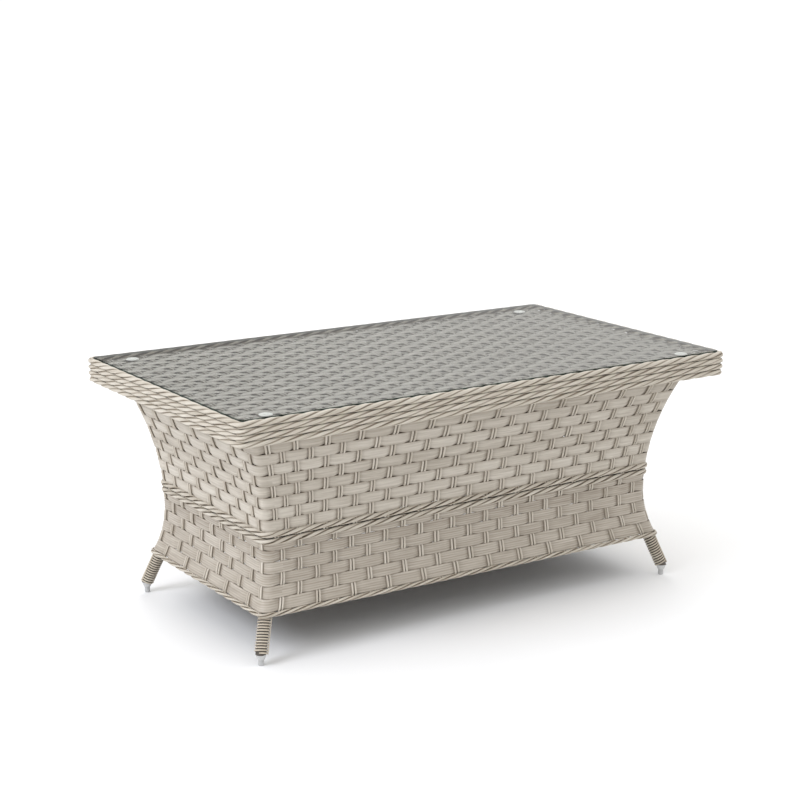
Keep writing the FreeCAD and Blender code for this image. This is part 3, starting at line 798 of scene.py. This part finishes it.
def body_rope(name, level, rise, nodes):
    inset = float(flare(np.array(level))[0]) + ROPE_SEAT
    ring = Ring(inset, BODY_CORNER - ROPE_SEAT)
    bundle = Bundle()
    rope(bundle, ring, level, BODY_ROPE_LAY, BODY_ROPE_DEPTH, rise, BODY_STEP, BODY_FULLNESS)
    bundle.build(name, rope_finish, on_ring(ring, inset), "table", "rope", nodes)


waist_low, waist_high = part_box("waist_rope_front")
hem_low, hem_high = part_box("hem_rope_front")
body_rope("waist_rope_upper", waist_high.z - WAIST_RISE, WAIST_REACH, sides("waist_rope"))
body_rope("waist_rope_lower", waist_low.z + WAIST_RISE, WAIST_REACH, sides("waist_rope"))
body_rope("hem_rope", (hem_low.z + hem_high.z) / 2, (hem_high.z - hem_low.z) / 2, sides("hem_rope"))


UNDER_LIFT = 0.0015
UNDER_OUTER = 0.0095
UNDER_LINES = 3
UNDER_CORNER = 0.010
UNDER_STEP = 0.012
UNDER_WAVE = 0.076
UNDER_SWING = 0.0006
UNDER_COVER = 0.49


def underside():
    """Flat strands under the overhang, between the lowest rim rope and the body."""
    bundle = Bundle()
    level = rim_low.z + UNDER_LIFT
    section = flat_section(False)
    inner = float(flare(np.array(level))[0])
    width = (inner - UNDER_OUTER) / UNDER_LINES
    around = np.concatenate([[0], np.cumsum(np.abs(np.diff(section[:, 0])) * width / 2)])
    for line in range(UNDER_LINES):
        inset = UNDER_OUTER + width * (line + 0.5)
        ring = Ring(inset, UNDER_CORNER)
        count = int(ring.total / UNDER_STEP)
        where = np.arange(count) / count * ring.total
        waves = round(ring.total / UNDER_WAVE / 2) * 2
        over = np.cos(where / ring.total * TAU * waves + line * math.pi)
        height = level + over * UNDER_SWING
        across = section[None, :, 0] * width * UNDER_COVER * np.ones((count, 1))
        drop = height[:, None] - section[None, :, 1] * FLAT_THICK
        x, y = ring.place(np.broadcast_to(where[:, None], across.shape), inset, across)
        grid = np.stack([x, y, drop], axis=-1)
        bundle.sweep(grid, where, around, True)
    return bundle


underside().build("rim_underside", weave_finish, lambda points: points, "table", "weave", [])

# ---------------------------------------------------------------- legs

CORNERS = {
    "front_left": (-1, -1),
    "front_right": (1, -1),
    "back_right": (1, 1),
    "back_left": (-1, 1),
}
LEG_SPLAY = math.radians(25)
LEG_RADIUS = 0.010
WRAP_LAP = 0.0028
COIL_THICK = 0.0015
COIL_HALF_WIDTH = 0.0016
COIL_PITCH = 0.0052
COIL_SIDES = 8
COIL_STEPS = 22
COIL_OVERRUN = 0.004
RUNNER_STEPS = 24
RUNNER_SPREAD = 0.20
RUNNER_THICK = 0.0009
RUNNER_AZIMUTH = {"front_left": -40, "front_right": -25, "back_right": 40, "back_left": 170}


def leg_frame(corner, sx, sy):
    """A leg's axis: the point where its tube ends, its direction up the leg, and two cross axes."""
    low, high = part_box("levelling_foot_" + corner)
    end_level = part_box("corner_post_" + corner)[0].z
    end = np.array([(low.x + high.x) / 2, (low.y + high.y) / 2, end_level])
    outwards = np.array([sx, sy, 0]) / math.sqrt(2)
    up = np.array([0, 0, math.cos(LEG_SPLAY)]) - outwards * math.sin(LEG_SPLAY)
    face = np.array([0, 0, math.sin(LEG_SPLAY)]) + outwards * math.cos(LEG_SPLAY)
    return end, up, face, np.cross(up, face)


def leg_wrap(corner, sx, sy):
    end, up, face, beside = leg_frame(corner, sx, sy)
    low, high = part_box("leg_wrap_" + corner)
    bottom = (low.z - end[2]) / up[2] + LEG_RADIUS * math.tan(LEG_SPLAY) * 0.3 - WRAP_LAP
    top = (high.z - end[2]) / up[2] + COIL_OVERRUN
    turns = int((top - bottom) / COIL_PITCH)
    bundle = Bundle()
    side = np.arange(COIL_SIDES) / COIL_SIDES * TAU
    count = turns * COIL_STEPS
    angle = np.arange(count + 1) / COIL_STEPS * TAU
    height = bottom + angle / TAU * COIL_PITCH + wander(count + 1, 0.00025, (11, 17, 31))
    middle = LEG_RADIUS + COIL_THICK

    def on_leg(reach, turn, along):
        spread = reach[..., None] * (np.cos(turn)[..., None] * face + np.sin(turn)[..., None] * beside)
        return end + spread + along[..., None] * up

    reach = middle + np.sin(side)[None, :] * COIL_THICK * np.ones((count + 1, 1))
    along = height[:, None] - np.cos(side)[None, :] * COIL_HALF_WIDTH
    turn = np.broadcast_to(angle[:, None], reach.shape)
    # Painted shade: the coil painted darker on its inner side and edges, between its turns.
    painted_shade = np.clip(0.55 - 0.75 * np.sin(side), 0, 1)
    bundle.sweep(on_leg(reach, turn, along), angle * middle, side * COIL_THICK, False, painted_shade)
    azimuth = math.radians(RUNNER_AZIMUTH[corner])
    way = np.array([math.cos(azimuth), math.sin(azimuth), 0])
    runner = np.linspace(bottom - 0.001, top, RUNNER_STEPS)
    turned = math.atan2(way @ beside, way @ face)
    breadth = turned + np.cos(side)[None, :] * RUNNER_SPREAD + 0 * runner[:, None]
    reach = LEG_RADIUS + 2 * COIL_THICK - np.sin(side)[None, :] * RUNNER_THICK + 0 * runner[:, None]
    along = np.broadcast_to(runner[:, None], reach.shape)
    bundle.sweep(on_leg(reach, breadth, along), runner, side * 0.002, False)
    return bundle


for corner, (sx, sy) in CORNERS.items():
    leg_wrap(corner, sx, sy).build(
        "leg_coil_" + corner, wrap_finish, lambda points: points,
        "table", "wrap", ["leg_wrap_" + corner],
    )

# ---------------------------------------------------------------- discs under the glass


def lathe(name, centre, profile, sections, material, body, nodes):
    turn = np.arange(sections) / sections * TAU
    points = [(centre[0], centre[1], profile[0][1])]
    for radius, z in profile[1:-1]:
        points += [(centre[0] + radius * math.cos(t), centre[1] + radius * math.sin(t), z) for t in turn]
    points.append((centre[0], centre[1], profile[-1][1]))
    faces = []
    rings = len(profile) - 2
    last = len(points) - 1
    for n in range(sections):
        m = (n + 1) % sections
        faces.append((0, 1 + m, 1 + n))
        for ring in range(rings - 1):
            a, b = 1 + ring * sections, 1 + (ring + 1) * sections
            faces.append((a + n, a + m, b + m, b + n))
        top = 1 + (rings - 1) * sections
        faces.append((top + n, top + m, last))
    mesh = bpy.data.meshes.new(name)
    mesh.from_pydata(points, [], faces)
    mesh.shade_smooth()
    return finish_piece(name, mesh, material, body, nodes)


discs_low, discs_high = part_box("glass_discs")
DISC_RADIUS = 0.013
DISC_SECTIONS = 40
for corner, (sx, sy) in CORNERS.items():
    centre = (sx * (discs_high.x - DISC_RADIUS), sy * (discs_high.y - DISC_RADIUS))
    low, high = discs_low.z, discs_high.z
    profile = [
        (0, low), (0.0112, low), (0.0124, low + 0.0003), (0.0130, low + 0.0012),
        (0.0128, high - 0.0008), (0.0119, high - 0.0002), (0.0100, high), (0.0088, high - 0.0001),
        (0.0082, high - 0.0005), (0, high - 0.0006),
    ]
    lathe(
        "glass_disc_" + corner, centre, profile, DISC_SECTIONS, disc_finish,
        "table", ["glass_discs"],
    )

# ---------------------------------------------------------------- CAD pieces that stay

FINISHES = {
    "glass_top": glass_material(),
    "top_rail": frame_finish,
    "cross_bar": frame_finish,
    "corner_post": frame_finish,
    "upper_rail": frame_finish,
    "waist_rail": frame_finish,
    "hem_rail": frame_finish,
    "foot_plug": plug_finish,
    "levelling_foot": foot_finish,
}
for name, cad_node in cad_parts.items():
    for start, finish in FINISHES.items():
        if name.startswith(start):
            cad_node.data.materials.clear()
            cad_node.data.materials.append(finish)

# ---------------------------------------------------------------- floor, light and camera


FLOOR_REACH = 400.0
WORLD_STRENGTH = 1.25
LIT_POINT = (0, 0, 0.25)


def floor():
    mesh = bpy.data.meshes.new("floor")
    reach = FLOOR_REACH
    corners = [(-reach, -reach, 0), (reach, -reach, 0), (reach, reach, 0), (-reach, reach, 0)]
    mesh.from_pydata(corners, [], [(0, 1, 2, 3)])
    piece = bpy.data.objects.new("floor", mesh)
    material, tree, shader = new_material("studio_floor")
    place = node(tree, "ShaderNodeTexCoord").outputs["Object"]
    cloud = noise(tree, place, 2.0, 3.0, 0.5)
    pale = ramp(tree, cloud, ((0.3, (0.90, 0.90, 0.90)), (0.7, (0.92, 0.92, 0.92))))
    tree.links.new(pale, shader.inputs["Base Color"])
    shader.inputs["Roughness"].default_value = 0.9
    mesh.materials.append(material)
    bpy.context.scene.collection.objects.link(piece)
    piece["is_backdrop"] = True


def area_light(name, place, target, size, power, colour):
    light = bpy.data.lights.new(name, "AREA")
    light.shape = "DISK"
    light.size = size
    light.energy = power
    light.color = colour
    lamp = bpy.data.objects.new(name, light)
    lamp.location = place
    lamp.rotation_euler = (Vector(target) - Vector(place)).to_track_quat("-Z", "Y").to_euler()
    bpy.context.scene.collection.objects.link(lamp)


def studio():
    """Soft light: pale above, darker low down except on the right, and plain white to the camera."""
    world = bpy.data.worlds.new("studio")
    bpy.context.scene.world = world
    world.use_nodes = True
    tree = world.node_tree
    way = node(tree, "ShaderNodeTexCoord").outputs["Generated"]
    split = node(tree, "ShaderNodeSeparateXYZ", {"Vector": way})
    right, up = split.outputs["X"], split.outputs["Z"]
    sky = ramp(tree, up, ((0.0, (0.34, 0.34, 0.34)), (0.22, (0.44, 0.44, 0.44)), (0.60, (1.0, 1.0, 1.0))))
    low_right = math_node(
        tree, "MULTIPLY", remap(tree, right, 0.45, 0.74, 0.0, 1.0), remap(tree, up, 0.25, 0.60, 1.0, 0.0)
    )
    lit = node(tree, "ShaderNodeMix", {0: low_right, 6: sky, 7: (0.90, 0.90, 0.90, 1)}, data_type="RGBA")
    direct = node(tree, "ShaderNodeLightPath").outputs["Is Camera Ray"]
    seen = node(tree, "ShaderNodeMix", {0: direct, 6: lit.outputs[2], 7: (1, 1, 1, 1)}, data_type="RGBA")
    background = tree.nodes["Background"]
    tree.links.new(seen.outputs[2], background.inputs["Color"])
    background.inputs["Strength"].default_value = WORLD_STRENGTH
    area_light("key", (-3.6, -0.3, 2.8), LIT_POINT, 2.0, 75, (0.94, 0.975, 1.06))
    area_light("back", (1.5, 3.5, 3.0), LIT_POINT, 2.5, 25, (1.0, 1.0, 1.0))
    bpy.context.scene.view_settings.view_transform = "Standard"


CAMERA_PLACE = (-1.9778, -2.9983, 1.2435)
CAMERA_YAW = math.radians(33.124)
CAMERA_PITCH = math.radians(13.389)
CAMERA_ROLL = math.radians(0.191)
CAMERA_LENS = 82.20


def camera():
    data = bpy.data.cameras.new("camera")
    data.lens = CAMERA_LENS
    data.sensor_width = 36
    piece = bpy.data.objects.new("camera", data)
    ahead = Vector(
        (
            math.sin(CAMERA_YAW) * math.cos(CAMERA_PITCH),
            math.cos(CAMERA_YAW) * math.cos(CAMERA_PITCH),
            -math.sin(CAMERA_PITCH),
        )
    )
    right = Vector((math.cos(CAMERA_YAW), -math.sin(CAMERA_YAW), 0))
    up = right.cross(ahead)
    across = math.cos(CAMERA_ROLL) * right + math.sin(CAMERA_ROLL) * up
    over = -math.sin(CAMERA_ROLL) * right + math.cos(CAMERA_ROLL) * up
    turn = Matrix((across, over, -ahead)).transposed().to_4x4()
    piece.matrix_world = Matrix.Translation(CAMERA_PLACE) @ turn
    bpy.context.scene.collection.objects.link(piece)
    bpy.context.scene.camera = piece


floor()
studio()
camera()

low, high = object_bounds()
